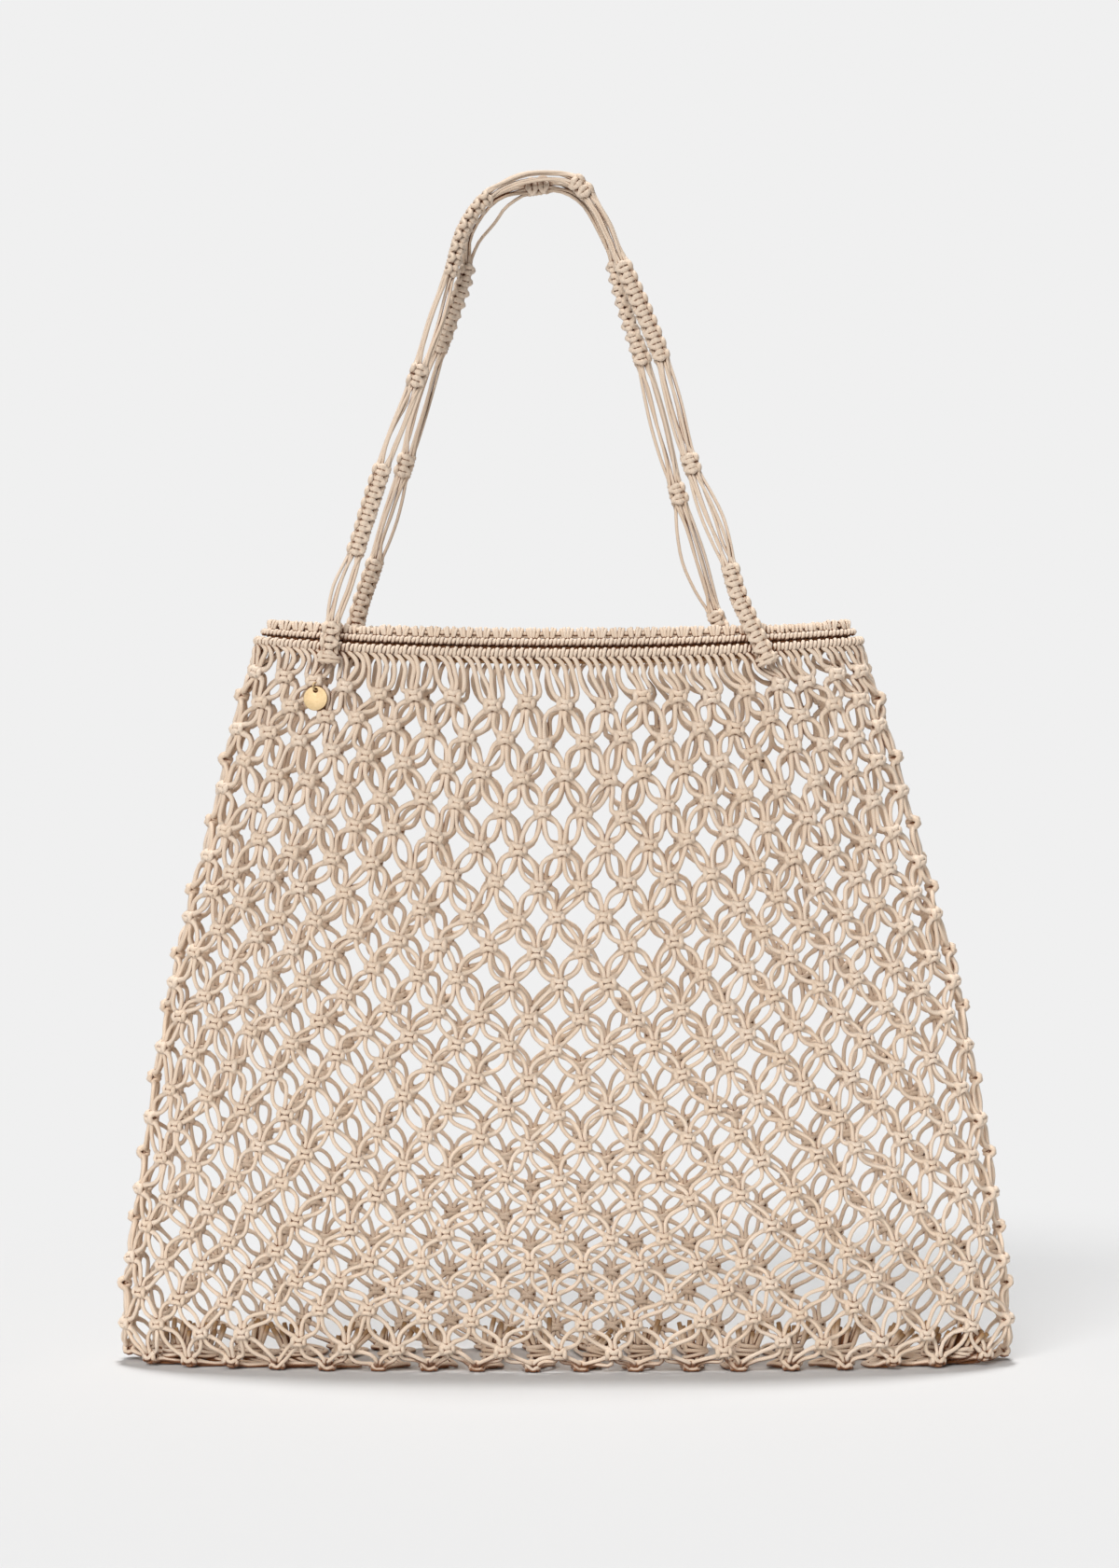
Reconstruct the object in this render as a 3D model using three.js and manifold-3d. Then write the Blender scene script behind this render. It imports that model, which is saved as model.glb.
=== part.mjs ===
// A tote bag knotted from round cord, with two knotted handles and a small round charm.
// Lengths are millimetres. The origin is the middle of the base, +Z is up, +X is right
// and -Y is the front.
import * as THREE from 'three';
import { LoftGeometry } from 'three/addons/geometries/LoftGeometry.js';
import { mergeVertices } from 'three/addons/utils/BufferGeometryUtils.js';
import Module from 'manifold-3d';

const wasm = await Module();
wasm.setup();

const CLEARANCE = 0.3;          // gap that touching pieces keep

// Net body
const BODY_HEIGHT = 383;        // base to the underside of the rim, at its two ends
const BODY_WIDTH = 478;         // at the widest, just above the base
const BODY_DEPTH = 112;         // front to back, at the deepest
const RIM_WIDTH = 325.6;        // over the net, just under the rim
const RIM_DEPTH = 50;
const RIM_LEAN = -4.5;          // how far the rim sits to the left of the base
const RIM_SAG = 8;              // middle of the net's top edge below its ends
const NET_WALL = 3;             // the knotted net, taken as one thickness
const FLOOR_RISE = 0.2;         // middle of the inside floor above its edge
const PLAN_SQUARENESS = 2.3;    // power of the plan outline, where 2 is an ellipse
const BODY_SIDES = 40;          // facets round the bag

// Gaps of the net, cut through the front and the back alike
const GAP_ROWS = 6;
const GAPS_IN_ROW = 10;         // every second row has one gap less
const GAP_WEB = 9;              // net left between two gaps of a row
const GAP_BRIDGE = 9;           // net left between two rows of gaps
const NET_MARGIN_LOW = 26;      // plain net above the base
const NET_MARGIN_HIGH = 14;     // plain net under the rim
const NET_MARGIN_SIDE = 20;     // plain net at the left and right folds

// Rim, from the net up
const LOWER_ROLL = 6;           // thickness of the lower knotted roll
const UPPER_ROLL = 4.6;
const ROLL_INSET = 3.5;         // each course of the rim sits this far inside the one below
const HEADER_HEIGHT = 6.3;      // row of cord loops that starts the bag
const HEADER_WALL = 4;
const RIM_PINCH = 0.2;          // share of its height that the rim loses at its two ends

// Handles: knotted stretches with loose cords between them
const KNOTTED_WIDTH = 10.2;
const KNOTTED_THICKNESS = 5.6;
const LOOSE_WIDTH = 8.4;
const LOOSE_THICKNESS = 3.6;
const FOOT_LENGTH = 28;         // stretch of a handle that lies over the rim
const HANDLE_STEP = 20;         // longest facet along a handle

// Row of tied cord ends inside the base
const TIE_ROW_WIDTH = 9;
const TIE_ROW_HEIGHT = 10;
const TIE_ROW_END_GAP = 14;     // from its ends to the net

// Charm on a jump ring
const CHARM_DIAMETER = 13;
const CHARM_THICKNESS = 1;
const CHARM_HOLE = 2.6;
const CHARM_HOLE_EDGE = 0.9;    // metal above the hole
const RING_INSET = 34.5;        // centre of its ring from the left end of the rim
const RING_UNDER_RIM = 22.5;    // centre of its ring below the top edge of the net
const RING_DIAMETER = 5;
const RING_WIRE = 0.9;
const RING_TURN = 60;           // degrees between the ring and the face of the charm

// Net body from the base up: share of the height, share of the way from the rim's size
// to the body's size in width and in depth.
const BODY_SECTIONS = [
  { up: 0, wide: 0.77, deep: 0.56 },
  { up: 0.008, wide: 0.91, deep: 0.77 },
  { up: 0.0234, wide: 0.99, deep: 0.9 },
  { up: 0.057, wide: 1, deep: 0.97 },
  { up: 0.13, wide: 0.968, deep: 1 },
  { up: 0.247, wide: 0.886, deep: 0.965 },
  { up: 0.354, wide: 0.805, deep: 0.86 },
  { up: 0.503, wide: 0.672, deep: 0.67 },
  { up: 0.648, wide: 0.489, deep: 0.46 },
  { up: 0.797, wide: 0.294, deep: 0.235 },
  { up: 0.919, wide: 0.132, deep: 0.075 },
  { up: 1, wide: 0, deep: 0 },
];

// Route of each handle from the left foot over the top to the right foot. across runs
// from -1 at the left foot to 1 at the right one. up is a share of the drop above the rim
// or, where it is negative, of the foot's length below the rim's top. turn is how many
// degrees the strap is twisted there. The runs cut the route into knotted and loose
// stretches, each up to a share of the route's length.
const HANDLES = [
  {
    name: 'front', side: -1, leftInset: 40.6, rightInset: 50.5, drop: 233, apex: 4.5,
    route: [
      { across: -1, up: -1, turn: 0 }, { across: -0.974, up: -0.17, turn: 0 },
      { across: -0.882, up: 0.122, turn: 0 }, { across: -0.748, up: 0.336, turn: 0 },
      { across: -0.597, up: 0.539, turn: 10 }, { across: -0.448, up: 0.776, turn: 50 },
      { across: -0.385, up: 0.883, turn: 55 }, { across: -0.262, up: 0.961, turn: 45 },
      { across: -0.1, up: 1, turn: 20 }, { across: 0.104, up: 0.992, turn: 0 },
      { across: 0.223, up: 0.922, turn: 0 }, { across: 0.329, up: 0.803, turn: 0 },
      { across: 0.516, up: 0.575, turn: 0 }, { across: 0.642, up: 0.339, turn: 0 },
      { across: 0.814, up: 0.107, turn: 0 }, { across: 0.857, up: 0.033, turn: 0 },
      { across: 0.907, up: -0.19, turn: 0 }, { across: 1, up: -1, turn: 0 },
    ],
    runs: [
      { form: 'knotted', until: 0.038 }, { form: 'loose', until: 0.1 },
      { form: 'knotted', until: 0.185 }, { form: 'loose', until: 0.26 },
      { form: 'knotted', until: 0.281 }, { form: 'loose', until: 0.365 },
      { form: 'knotted', until: 0.449 }, { form: 'loose', until: 0.527 },
      { form: 'knotted', until: 0.548 }, { form: 'loose', until: 0.615 },
      { form: 'knotted', until: 0.712 }, { form: 'loose', until: 0.799 },
      { form: 'knotted', until: 0.817 }, { form: 'loose', until: 0.904 },
      { form: 'knotted', until: 1 },
    ],
  },
  {
    name: 'back', side: 1, leftInset: 53.6, rightInset: 75.3, drop: 229, apex: 4.5,
    route: [
      { across: -1, up: -1, turn: 0 }, { across: -1, up: -0.17, turn: 0 },
      { across: -0.891, up: 0.128, turn: 0 }, { across: -0.732, up: 0.348, turn: 0 },
      { across: -0.547, up: 0.614, turn: 0 }, { across: -0.398, up: 0.798, turn: 40 },
      { across: -0.367, up: 0.891, turn: 30 }, { across: -0.239, up: 0.968, turn: 10 },
      { across: -0.035, up: 0.998, turn: 0 }, { across: 0.118, up: 1, turn: 0 },
      { across: 0.271, up: 0.961, turn: 0 }, { across: 0.373, up: 0.88, turn: 0 },
      { across: 0.486, up: 0.707, turn: 0 }, { across: 0.578, up: 0.588, turn: 0 },
      { across: 0.768, up: 0.284, turn: 0 }, { across: 0.975, up: 0, turn: 0 },
      { across: 1, up: -0.17, turn: 0 }, { across: 1, up: -1, turn: 0 },
    ],
    runs: [
      { form: 'knotted', until: 0.103 }, { form: 'loose', until: 0.183 },
      { form: 'knotted', until: 0.205 }, { form: 'loose', until: 0.304 },
      { form: 'knotted', until: 0.39 }, { form: 'loose', until: 0.488 },
      { form: 'knotted', until: 0.509 }, { form: 'loose', until: 0.608 },
      { form: 'knotted', until: 0.708 }, { form: 'loose', until: 0.822 },
      { form: 'knotted', until: 0.842 }, { form: 'loose', until: 0.947 },
      { form: 'knotted', until: 1 },
    ],
  },
];

const CORD_FINISH = new THREE.MeshStandardMaterial({ color: 0xdcc3a4, roughness: 0.75, metalness: 0 });
const GOLD_FINISH = new THREE.MeshStandardMaterial({ color: 0xe2c27a, roughness: 0.3, metalness: 1 });

const lowerRollHeight = BODY_HEIGHT + CLEARANCE + LOWER_ROLL / 2;
const upperRollHeight = lowerRollHeight + (LOWER_ROLL + UPPER_ROLL) / 2 + CLEARANCE;
const headerHeight = upperRollHeight + (UPPER_ROLL + HEADER_HEIGHT) / 2 + CLEARANCE;
const rimTop = headerHeight + HEADER_HEIGHT / 2;
const rimFoot = BODY_HEIGHT + CLEARANCE;

const bag = new THREE.Group();

function addPiece(name, geometry, material) {
  const piece = new THREE.Mesh(geometry, material);
  piece.name = name;
  bag.add(piece);
  return piece;
}

// Joins the corners that faces share, so that the faces close into one body.
function closed(geometry) {
  const bare = new THREE.BufferGeometry();
  bare.setAttribute('position', geometry.getAttribute('position'));
  bare.setIndex(geometry.getIndex());
  return mergeVertices(bare, 1e-4);
}

function toSolid(geometry) {
  const whole = closed(geometry);
  return new wasm.Manifold(new wasm.Mesh({
    numProp: 3,
    vertProperties: whole.getAttribute('position').array,
    triVerts: new Uint32Array(whole.getIndex().array),
  }));
}

function toGeometry(solid) {
  const { vertProperties, triVerts } = solid.getMesh();
  const geometry = new THREE.BufferGeometry();
  geometry.setAttribute('position', new THREE.BufferAttribute(vertProperties, 3));
  geometry.setIndex(new THREE.BufferAttribute(triVerts, 1));
  geometry.computeVertexNormals();
  return geometry;
}

// Point of a flattened round plan outline, at an angle from its right end.
function planPoint(angle, halfWidth, halfDepth, height, sag) {
  const c = Math.cos(angle);
  const s = Math.sin(angle);
  const power = 2 / PLAN_SQUARENESS;
  const x = Math.sign(c) * Math.abs(c) ** power * halfWidth;
  const y = Math.sign(s) * Math.abs(s) ** power * halfDepth;
  const lean = RIM_LEAN * (height / rimTop) ** 2;
  return new THREE.Vector3(x + lean, y, height - sag * s * s);
}

// Level direction square to that outline.
function planOutward(angle, halfWidth, halfDepth) {
  const c = Math.cos(angle);
  const s = Math.sin(angle);
  const power = 2 - 2 / PLAN_SQUARENESS;
  const x = (Math.sign(c) * Math.abs(c) ** power) / halfWidth;
  const y = (Math.sign(s) * Math.abs(s) ** power) / halfDepth;
  return new THREE.Vector3(x, y, 0).normalize();
}

// Even angles, which crowd the facets at the two ends, where the outline turns quickly.
function planAngles() {
  return Array.from({ length: BODY_SIDES }, (_, i) => (i / BODY_SIDES) * 2 * Math.PI);
}

function bodySection({ up, wide, deep }, inset, height) {
  const halfWidth = THREE.MathUtils.lerp(RIM_WIDTH, BODY_WIDTH, wide) / 2 - inset;
  const halfDepth = THREE.MathUtils.lerp(RIM_DEPTH, BODY_DEPTH, deep) / 2 - inset;
  const sag = RIM_SAG * up * up;
  return planAngles().map((angle) => planPoint(angle, halfWidth, halfDepth, height, sag));
}

// Size of the body at a share of its height, between the rows of the table.
function bodyAt(up) {
  const above = BODY_SECTIONS.findIndex((row) => row.up >= up);
  const high = BODY_SECTIONS[Math.max(above, 1)];
  const low = BODY_SECTIONS[Math.max(above, 1) - 1];
  const share = (up - low.up) / (high.up - low.up);
  const wide = THREE.MathUtils.lerp(low.wide, high.wide, share);
  const deep = THREE.MathUtils.lerp(low.deep, high.deep, share);
  return {
    halfWidth: THREE.MathUtils.lerp(RIM_WIDTH, BODY_WIDTH, wide) / 2,
    halfDepth: THREE.MathUtils.lerp(RIM_DEPTH, BODY_DEPTH, deep) / 2,
  };
}

// Distance from the middle plane to a faceted outline round the bag, at a place across it.
function depthAt(outline, x) {
  const half = outline.slice(0, BODY_SIDES / 2 + 1);
  const next = half.findIndex((corner) => corner.x <= x);
  const share = THREE.MathUtils.inverseLerp(half[next].x, half[next - 1].x, x);
  return THREE.MathUtils.lerp(half[next].y, half[next - 1].y, share);
}

// Distance from the middle plane to the outer face of the net, at a place on the bag.
function netFace(x, z) {
  const { halfWidth, halfDepth } = bodyAt(z / BODY_HEIGHT);
  return depthAt(planAngles().map((angle) => planPoint(angle, halfWidth, halfDepth, z, 0)), x);
}

// Open shell in one loft: up the outside, over the top edge and down the inside to the
// floor, one wall above the base. The last ring is a smaller one that lies a little
// higher, and so the floor closes facing up.
function shell() {
  const outside = BODY_SECTIONS.map((row) => bodySection(row, 0, row.up * BODY_HEIGHT));
  const raised = BODY_SECTIONS.filter((row) => row.up * BODY_HEIGHT > 2 * NET_WALL);
  const inside = raised.map((row) => bodySection(row, NET_WALL, row.up * BODY_HEIGHT));
  const floor = bodySection(BODY_SECTIONS[0], NET_WALL, NET_WALL);
  const floorMiddle = bodySection(BODY_SECTIONS[0], BODY_DEPTH / 5, NET_WALL + FLOOR_RISE);
  const sections = [...outside, ...inside.reverse(), floor, floorMiddle];
  return new LoftGeometry(sections, { capStart: true, capEnd: true });
}

function gapCutter(width, height) {
  const outline = new THREE.Shape();
  outline.moveTo(0, height / 2);
  outline.quadraticCurveTo(-width, 0, 0, -height / 2);
  outline.quadraticCurveTo(width, 0, 0, height / 2);
  const depth = 1.2 * BODY_DEPTH;
  const cutter = new THREE.ExtrudeGeometry(outline, { depth, bevelEnabled: false, curveSegments: 3 });
  return cutter.rotateX(Math.PI / 2).translate(0, depth / 2, 0);
}

function netGaps() {
  const rowHeight = (BODY_HEIGHT - NET_MARGIN_LOW - NET_MARGIN_HIGH) / GAP_ROWS;
  const cutters = [];
  for (let row = 0; row < GAP_ROWS; row += 1) {
    const z = NET_MARGIN_LOW + (row + 0.5) * rowHeight;
    const pitch = (2 * (bodyAt(z / BODY_HEIGHT).halfWidth - NET_MARGIN_SIDE)) / GAPS_IN_ROW;
    const count = GAPS_IN_ROW - (row % 2);
    const lean = RIM_LEAN * (z / rimTop) ** 2;
    for (let i = 0; i < count; i += 1) {
      const x = lean + (i - (count - 1) / 2) * pitch;
      cutters.push(gapCutter(pitch - GAP_WEB, rowHeight - GAP_BRIDGE).translate(x, 0, z));
    }
  }
  return cutters;
}

function addNet() {
  const net = netGaps().reduce((solid, cutter) => solid.subtract(toSolid(cutter)), toSolid(shell()));
  addPiece('net_body', toGeometry(net), CORD_FINISH);
}

// The rim is lower at its two ends, where it turns, than in the middle of each side.
function pinch(angle) {
  return 1 - RIM_PINCH * Math.cos(angle) ** 2;
}

// Closed ring of the rim, swept round the bag with a six-sided section.
function rimRing(course, nominalHeight, thickness, nominalTall) {
  const inset = NET_WALL / 2 + course * ROLL_INSET;
  const halfWidth = RIM_WIDTH / 2 - inset;
  const halfDepth = RIM_DEPTH / 2 - inset;
  const around = [...planAngles(), 0];
  const sections = around.map((angle) => {
    const height = rimFoot + (nominalHeight - rimFoot) * pinch(angle);
    const tall = nominalTall * pinch(angle);
    const middle = planPoint(angle, halfWidth, halfDepth, height, RIM_SAG);
    const outward = planOutward(angle, halfWidth, halfDepth);
    return Array.from({ length: 6 }, (_, i) => {
      const turn = (i / 6) * 2 * Math.PI;
      const point = middle.clone().addScaledVector(outward, (Math.cos(turn) * thickness) / 2);
      point.z -= (Math.sin(turn) * tall) / (2 * Math.sin(Math.PI / 3));
      return point;
    });
  });
  return closed(new LoftGeometry(sections));
}

function addRim() {
  addPiece('rim_lower_roll', rimRing(0, lowerRollHeight, LOWER_ROLL, LOWER_ROLL), CORD_FINISH);
  addPiece('rim_upper_roll', rimRing(1, upperRollHeight, UPPER_ROLL, UPPER_ROLL), CORD_FINISH);
  addPiece('rim_header', rimRing(2, headerHeight, HEADER_WALL, HEADER_HEIGHT), CORD_FINISH);
}

// Distance from the middle plane to the outer face of the lower roll, at a place across it.
function rollFace(x) {
  const halfWidth = (RIM_WIDTH - NET_WALL) / 2;
  const halfDepth = (RIM_DEPTH - NET_WALL) / 2;
  const outline = planAngles().map((angle) => {
    const middle = planPoint(angle, halfWidth, halfDepth, lowerRollHeight, 0);
    return middle.addScaledVector(planOutward(angle, halfWidth, halfDepth), LOWER_ROLL / 2);
  });
  return depthAt(outline, x);
}

// Distance from the middle plane to a foot of a handle, which lies on the lower roll. The
// rows are the last two of its route at that end, and toPlace turns across into a length.
function footAway([end, before], toPlace) {
  const up = (lowerRollHeight - rimTop) / FOOT_LENGTH;
  const share = THREE.MathUtils.inverseLerp(end.up, before.up, up);
  const x = toPlace(THREE.MathUtils.lerp(end.across, before.across, share));
  const innerEdge = x - (Math.sign(x - RIM_LEAN) * KNOTTED_WIDTH) / 2;
  return rollFace(innerEdge) + CLEARANCE + KNOTTED_THICKNESS / 2;
}

function handlePath(handle) {
  const left = RIM_LEAN - RIM_WIDTH / 2 + handle.leftInset;
  const right = RIM_LEAN + RIM_WIDTH / 2 - handle.rightInset;
  const toPlace = (across) => THREE.MathUtils.mapLinear(across, -1, 1, left, right);
  const leftAway = footAway(handle.route.slice(0, 2), toPlace);
  const rightAway = footAway(handle.route.slice(-2).reverse(), toPlace);
  const points = handle.route.map(({ across, up }) => {
    const foot = across < 0 ? leftAway : rightAway;
    const away = THREE.MathUtils.lerp(foot, handle.apex, Math.max(up, 0));
    const z = rimTop + up * (up < 0 ? FOOT_LENGTH : handle.drop);
    return new THREE.Vector3(toPlace(across), handle.side * away, z);
  });
  return new THREE.CatmullRomCurve3(points, false, 'centripetal');
}

// Twist of a strap at a share of its length, between the rows of its route.
function twistAt(path, route, share) {
  const place = path.getUtoTmapping(share) * (route.length - 1);
  const row = Math.min(Math.floor(place), route.length - 2);
  const twist = THREE.MathUtils.lerp(route[row].turn, route[row + 1].turn, place - row);
  return THREE.MathUtils.degToRad(twist);
}

// Flat strap section, square to the path and level across the handle before its twist.
function strapSection(path, route, share, width, thickness) {
  const middle = path.getPointAt(share);
  const along = path.getTangentAt(share);
  const twist = twistAt(path, route, share);
  const across = new THREE.Vector3(0, 1, 0).cross(along).normalize().applyAxisAngle(along, twist);
  const through = along.clone().cross(across).normalize();
  return Array.from({ length: 8 }, (_, i) => {
    const turn = ((i + 0.5) / 8) * 2 * Math.PI;
    const reach = 0.5 / Math.cos(Math.PI / 8);
    return middle.clone()
      .addScaledVector(across, Math.cos(turn) * width * reach)
      .addScaledVector(through, Math.sin(turn) * thickness * reach);
  });
}

function strap(path, route, from, to, width, thickness) {
  const length = path.getLength() * (to - from);
  const steps = Math.max(1, Math.ceil(length / HANDLE_STEP));
  const sections = [];
  for (let i = 0; i <= steps; i += 1) {
    const share = THREE.MathUtils.lerp(from, to, i / steps);
    sections.push(strapSection(path, route, share, width, thickness));
  }
  return closed(new LoftGeometry(sections, { capStart: true, capEnd: true }));
}

function addHandle(handle) {
  const path = handlePath(handle);
  const trim = CLEARANCE / 2 / path.getLength();
  let from = 0;
  handle.runs.forEach(({ form, until }, i) => {
    const start = i === 0 ? 0 : from + trim;
    const end = until === 1 ? 1 : until - trim;
    const width = form === 'knotted' ? KNOTTED_WIDTH : LOOSE_WIDTH;
    const thickness = form === 'knotted' ? KNOTTED_THICKNESS : LOOSE_THICKNESS;
    const number = String(i + 1).padStart(2, '0');
    const name = `handle_${handle.name}_${number}_${form}`;
    addPiece(name, strap(path, handle.route, start, end, width, thickness), CORD_FINISH);
    from = until;
  });
}

// Low ridge along the middle of the floor, pointed at both ends.
function addTieRow() {
  const floor = NET_WALL + FLOOR_RISE + CLEARANCE;
  const halfLength = bodyAt(0).halfWidth - NET_WALL - TIE_ROW_END_GAP;
  const stations = [
    { along: -1, size: 0.5 }, { along: -0.96, size: 1 },
    { along: 0.96, size: 1 }, { along: 1, size: 0.5 },
  ];
  const sections = stations.map(({ along, size }) => Array.from({ length: 6 }, (_, i) => {
    const turn = (i / 6) * 2 * Math.PI;
    const y = (Math.cos(turn) * TIE_ROW_WIDTH * size) / 2;
    const lift = Math.sin(turn) / (2 * Math.sin(Math.PI / 3)) + 0.5;
    return new THREE.Vector3(along * halfLength, y, floor + lift * TIE_ROW_HEIGHT * size);
  }));
  const ridge = new LoftGeometry(sections, { capStart: true, capEnd: true });
  addPiece('base_tie_row', closed(ridge), CORD_FINISH);
}

// Frame that lies flat on the front of the net, at a place on the bag: x across, y up the
// net and z out of it.
function frontFrame(x, z) {
  const step = CHARM_DIAMETER / 2;
  const point = (px, pz) => new THREE.Vector3(px, -netFace(px, pz), pz);
  const across = point(x + step, z).sub(point(x - step, z)).normalize();
  const out = across.clone().cross(point(x, z + step).sub(point(x, z - step))).normalize();
  const frame = new THREE.Matrix4().makeBasis(across, out.clone().cross(across), out);
  return frame.setPosition(point(x, z));
}

// The ring lies against the net, and the charm hangs from it by its hole.
function addCharm() {
  const radius = CHARM_DIAMETER / 2;
  const holeHeight = radius - CHARM_HOLE_EDGE - CHARM_HOLE / 2;
  const outline = new THREE.Shape().absarc(0, 0, radius, 0, 2 * Math.PI);
  outline.holes.push(new THREE.Path().absarc(0, holeHeight, CHARM_HOLE / 2, 0, 2 * Math.PI, true));
  const coin = new THREE.ExtrudeGeometry(outline, {
    depth: CHARM_THICKNESS, bevelEnabled: false, curveSegments: 10,
  });
  const turn = THREE.MathUtils.degToRad(RING_TURN);
  const ringRadius = (RING_DIAMETER - RING_WIRE) / 2;
  const link = new THREE.TorusGeometry(ringRadius, RING_WIRE / 2, 6, 14).rotateY(turn);
  const off = CLEARANCE + Math.sin(turn) * ringRadius + RING_WIRE / 2;
  const place = frontFrame(RIM_LEAN - RIM_WIDTH / 2 + RING_INSET, BODY_HEIGHT - RING_UNDER_RIM);
  coin.translate(0, -holeHeight - ringRadius, off - CHARM_THICKNESS / 2);
  link.translate(0, 0, off);
  addPiece('charm', closed(coin).applyMatrix4(place), GOLD_FINISH);
  addPiece('jump_ring', closed(link).applyMatrix4(place), GOLD_FINISH);
}

addNet();
addRim();
HANDLES.forEach(addHandle);
addTieRow();
addCharm();

export default bag;
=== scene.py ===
# Looks of a tote bag knotted from braided cord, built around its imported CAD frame.
# Blender objects are in metres. Lengths below are millimetres until a mesh is made.
# +Z is up, +X is right and -Y is the front.
import math
import bpy
import numpy as np
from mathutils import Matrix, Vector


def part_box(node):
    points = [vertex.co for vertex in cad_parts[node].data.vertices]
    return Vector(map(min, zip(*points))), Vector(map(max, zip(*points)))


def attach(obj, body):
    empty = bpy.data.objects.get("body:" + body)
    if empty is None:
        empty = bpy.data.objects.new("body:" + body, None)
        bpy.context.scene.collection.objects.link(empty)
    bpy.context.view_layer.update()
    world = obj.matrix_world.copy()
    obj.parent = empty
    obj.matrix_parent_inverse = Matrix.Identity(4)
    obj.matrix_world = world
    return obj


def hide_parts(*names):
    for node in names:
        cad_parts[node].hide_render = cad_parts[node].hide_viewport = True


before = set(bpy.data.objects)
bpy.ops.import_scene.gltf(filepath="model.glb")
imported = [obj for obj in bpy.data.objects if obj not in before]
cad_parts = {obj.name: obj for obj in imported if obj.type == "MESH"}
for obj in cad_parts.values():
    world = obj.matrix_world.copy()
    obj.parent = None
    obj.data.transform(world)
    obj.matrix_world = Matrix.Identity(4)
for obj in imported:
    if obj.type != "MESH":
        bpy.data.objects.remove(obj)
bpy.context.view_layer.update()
rng = np.random.default_rng(7)

MM = 0.001
UP = np.array([0.0, 0.0, 1.0])
CORD = 1.15                     # radius of the cord
NET_CORD = ((0.0, 1.16), (150.0, 1.18), (300.0, 1.37))   # its radius in the net by height
NET_INSET = 1.5                 # middle of the net from the outer face of the solid one

# Main sizes, as in the frame
RIM_WIDTH = 325.6
RIM_DEPTH = 50.0
RIM_LEAN = -4.5
RIM_SAG = 8.0
RIM_TOP = 400.8
RIM_FOOT = 383.3
RIM_PINCH = 0.2
SQUARENESS = 2.3
LOWER_ROLL_HEIGHT = 386.3
UPPER_ROLL_HEIGHT = 392.3
HEADER_HEIGHT = 397.65
ROLL_INSET = 3.5

# Net body from the base up: height, half width and half depth of its outer face
SHAPE = np.array([
    [21.8, 239.0, 55.1], [49.8, 236.6, 56.0], [94.6, 230.3, 54.9], [135.6, 224.1, 51.7],
    [192.6, 214.0, 45.8], [248.2, 200.1, 39.3], [305.3, 185.2, 32.3], [352.0, 172.9, 27.3],
    [383.0, 162.8, 25.0], [400.0, 162.8, 25.0],
])
# How the net goes round the lower edge and in under the base: place along the net,
# height, half width and half depth
UNDERSIDE = np.array([
    [-60.0, 1.6, 176.0, 1.0], [-25.0, 1.6, 206.0, 21.5], [-5.0, 1.7, 226.0, 41.5],
    [3.0, 4.2, 232.0, 47.5], [10.0, 9.0, 236.7, 51.4],
])

# Rows of knots from the rim down: height in the middle, and how much higher at the folds
ROWS = [
    (350.7, 19.5), (332.0, 24.3), (311.7, 29.0), (293.0, 30.1), (274.3, 31.1), (255.2, 32.1),
    (237.0, 33.0), (219.9, 34.0), (202.8, 34.9), (185.3, 35.4), (168.3, 36.0), (152.7, 36.5),
    (135.7, 34.0), (118.7, 31.5), (102.7, 28.2), (87.2, 24.9), (70.6, 21.6), (55.6, 18.9),
    (40.9, 16.3), (26.7, 14.1), (11.3, 11.9), (-1.5, 7.0),
]
ROW_CURVE = 1.7                 # how late a row starts to climb towards the folds
KNOTS_ROUND = 38
CORDS = 4 * KNOTS_ROUND
LOOSE_MIDDLE = 0.08             # knots are this much further apart in the middle
DRIFT = (3.5, -5.5, -5.0)       # sideways drift of the middle knot at the top, middle and base


def lerp(a, b, t):
    return a + (b - a) * t


def unit(v):
    return v / np.maximum(np.linalg.norm(v, axis=-1, keepdims=True), 1e-9)


def length_along(path):
    """Length walked at each point of a path (points, 3)."""
    step = np.linalg.norm(np.diff(path, axis=0), axis=1)
    return np.concatenate([[0], np.cumsum(step)])


def at_lengths(lengths, walk, values):
    return np.stack([np.interp(lengths, walk, column) for column in values.T], axis=-1)


def spline(controls, per_span):
    """Smooth curve through control points (..., n, 3), with per_span points for each span."""
    controls = np.asarray(controls, float)
    before = 2 * controls[..., :1, :] - controls[..., 1:2, :]
    after = 2 * controls[..., -1:, :] - controls[..., -2:-1, :]
    p = np.concatenate([before, controls, after], axis=-2)
    gap = np.sqrt(np.linalg.norm(np.diff(p, axis=-2), axis=-1, keepdims=True)) + 1e-6
    a, b, c = gap[..., :-2, :], gap[..., 1:-1, :], gap[..., 2:, :]
    p0, p1, p2, p3 = p[..., :-3, :], p[..., 1:-2, :], p[..., 2:-1, :], p[..., 3:, :]
    m = ((p1 - p0) / a - (p2 - p0) / (a + b)) * b + p2 - p1
    n = ((p3 - p2) / c - (p3 - p1) / (b + c)) * b + p2 - p1
    t = (np.arange(per_span) / per_span)[:, None]
    curve = hermite(p1[..., None, :], m[..., None, :], p2[..., None, :], n[..., None, :], t)
    curve = curve.reshape(controls.shape[:-2] + (-1, 3))
    return np.concatenate([curve, controls[..., -1:, :]], axis=-2)


def hermite(start, start_way, end, end_way, t):
    """Cubic curve between two points with a tangent at each, t from 0 to 1."""
    return ((2 * t ** 3 - 3 * t ** 2 + 1) * start + (t ** 3 - 2 * t ** 2 + t) * start_way
            + (-2 * t ** 3 + 3 * t ** 2) * end + (t ** 3 - t ** 2) * end_way)


def resample(path, count):
    """The same path through this many evenly spaced points."""
    walk = length_along(path)
    return at_lengths(np.linspace(0, walk[-1], count), walk, path)


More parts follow.
